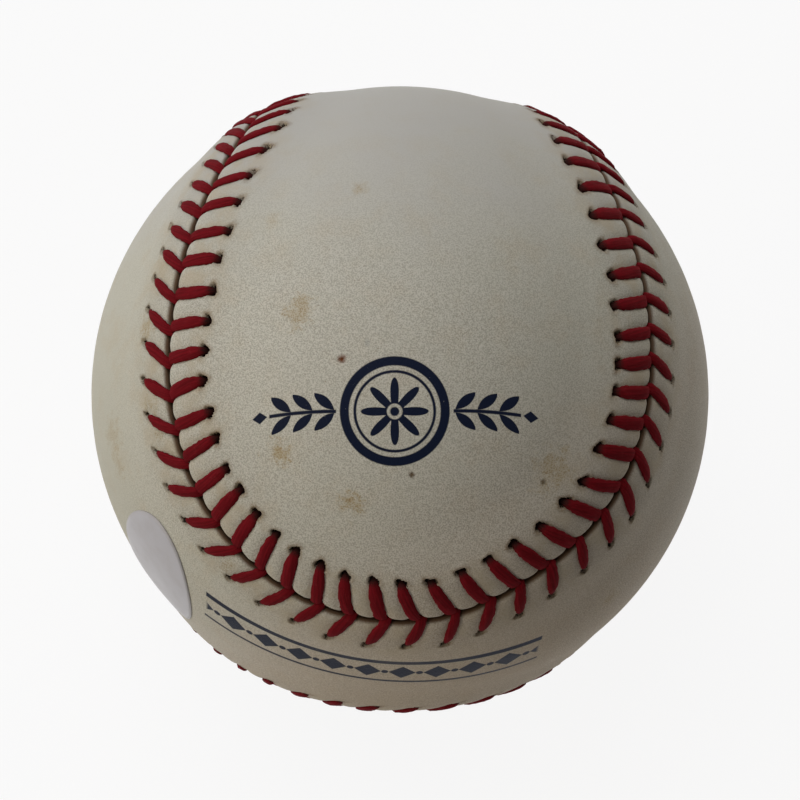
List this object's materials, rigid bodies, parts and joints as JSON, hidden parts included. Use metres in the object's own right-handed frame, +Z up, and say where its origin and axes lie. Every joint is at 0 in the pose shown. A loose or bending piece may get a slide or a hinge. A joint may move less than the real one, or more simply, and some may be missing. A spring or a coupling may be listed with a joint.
{
  "type": "baseball",
  "caption": "Full-size baseball with a wound yarn core, figure-eight white leather panels, a raised seam of red stitches and a blank label.",
  "frame": {"origin": "centre of the ball", "axes": "+Z up through the middle of the smooth lobe that faces the picture's camera; -Z through the lobe that the ball rests on; +Y to the back, through the narrow waist of the back panel; +X right, through the middle of the front panel's right lobe"},
  "size_m": [0.0744, 0.075, 0.0744],
  "materials": {
    "cork": "pressed cork and rubber granules",
    "black_rubber": "dull moulded",
    "red_rubber": "dull moulded",
    "grey_wool": "wound plied wool yarn",
    "white_yarn": "wound plied yarn",
    "cement": "dried rubber cement",
    "cover_leather": "full-grain white cowhide with fine pebbles, faint tan stains and a soft sheen",
    "waxed_thread": "flattened red waxed cotton thread",
    "label": "blank white film, satin"
  },
  "bodies": {
    "root": {"cork_core": "cork", "lower_rubber_shell": "black_rubber", "upper_rubber_shell": "black_rubber", "rubber_washer": "red_rubber", "rubber_jacket": "red_rubber", "inner_grey_winding": "grey_wool", "white_winding": "white_yarn", "outer_grey_winding": "grey_wool", "finishing_winding": "white_yarn", "cement_coat": "cement", "back_cover_panel": "cover_leather", "front_cover_panel": "cover_leather", "first_needle_thread": "waxed_thread", "second_needle_thread": "waxed_thread", "blank_label": "label"}
  },
  "joints": []
}
